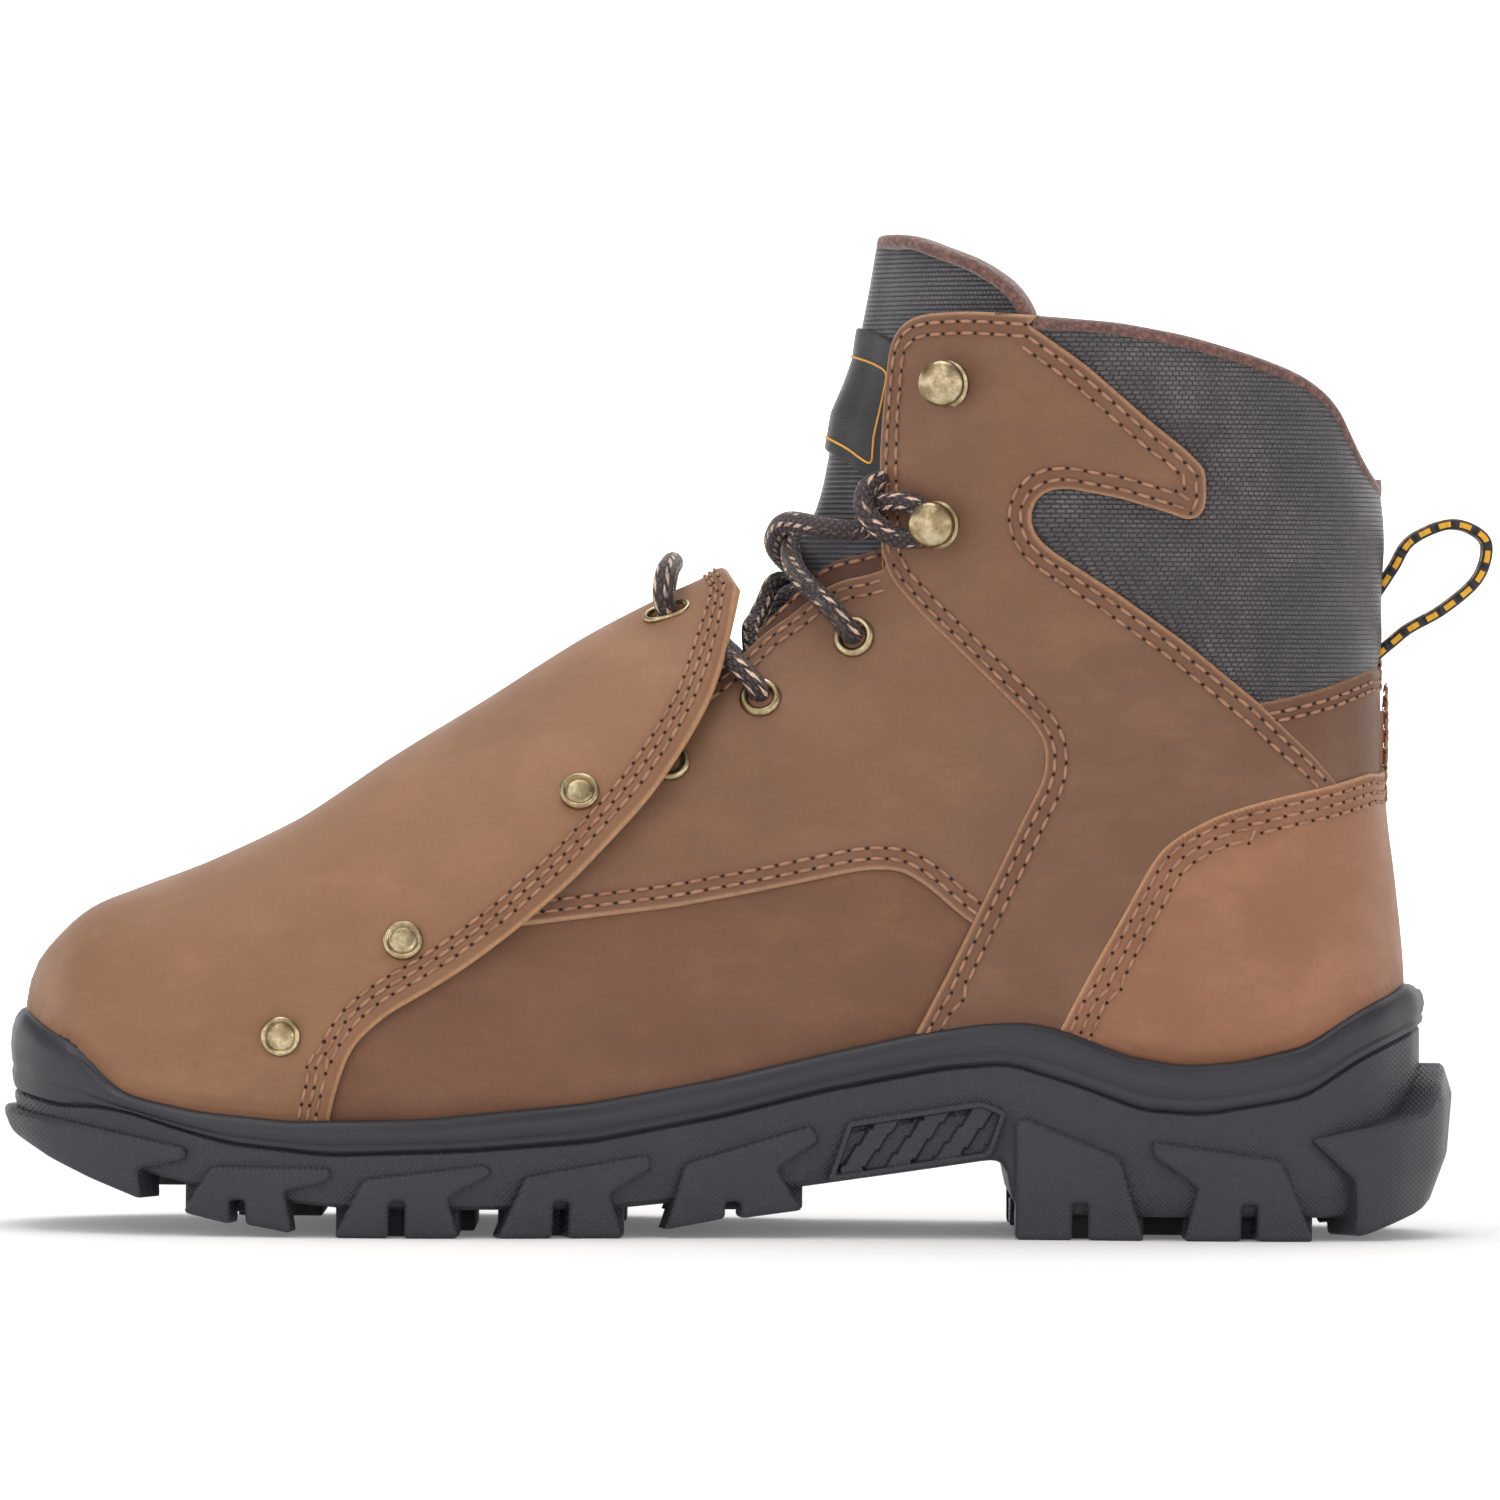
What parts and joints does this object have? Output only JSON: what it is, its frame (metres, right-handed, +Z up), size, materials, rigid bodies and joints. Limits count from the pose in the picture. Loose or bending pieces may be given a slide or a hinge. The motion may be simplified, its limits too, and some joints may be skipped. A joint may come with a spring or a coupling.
{
  "type": "metatarsal guard boot",
  "caption": "Right lace-up work boot in oiled brown leather with an outer metatarsal guard, black padded collar and tongue, brass hardware and a lugged rubber sole.",
  "frame": {"origin": "on the floor plane, at the middle of the flat tread pad under the heel", "axes": "-X points to the toe, +X to the heel, -Y to the inner (medial) side, +Y to the outer (lateral) side, +Z up"},
  "size_m": [0.3221, 0.1204, 0.2172],
  "materials": {
    "vamp_leather": "oiled nubuck, mid brown",
    "guard_leather": "oiled nubuck, mid brown, lighter at the toe",
    "panel_leather": "oiled nubuck, brown",
    "counter_leather": "oiled nubuck, warm brown",
    "outsole_rubber": "matte charcoal, fine texture",
    "midsole_rubber": "smooth charcoal",
    "black_nylon": "woven black nylon",
    "insole_foam": "dark grey knit over foam",
    "webbing": "black webbing with amber dashes",
    "lace": "round braided lace, dark brown with tan flecks",
    "antique_brass": "antique brass"
  },
  "bodies": {
    "root": {"outsole": "outsole_rubber", "midsole": "midsole_rubber", "insole": "insole_foam", "upper": "vamp_leather", "tongue": "black_nylon", "metatarsal_guard": "guard_leather", "heel_counter": "counter_leather", "backstay": "panel_leather", "padded_collar": "black_nylon", "pull_loop": "webbing", "quarter_medial": "panel_leather", "shaft_panel_medial": "panel_leather", "guard_slot_medial": "antique_brass", "eyelet_medial_1": "antique_brass", "guard_rivet_medial_1": "antique_brass", "eyelet_medial_2": "antique_brass", "guard_rivet_medial_2": "antique_brass", "eyelet_medial_3": "antique_brass", "guard_rivet_medial_3": "antique_brass", "hook_medial_lower": "antique_brass", "hook_medial_upper": "antique_brass", "quarter_lateral": "panel_leather", "shaft_panel_lateral": "panel_leather", "guard_slot_lateral": "antique_brass", "eyelet_lateral_1": "antique_brass", "guard_rivet_lateral_1": "antique_brass", "eyelet_lateral_2": "antique_brass", "guard_rivet_lateral_2": "antique_brass", "eyelet_lateral_3": "antique_brass", "guard_rivet_lateral_3": "antique_brass", "hook_lateral_lower": "antique_brass", "hook_lateral_upper": "antique_brass", "lace_crossing_lower": "lace", "lace_crossing_upper": "lace", "lace_guard_bar": "lace"}
  },
  "joints": []
}
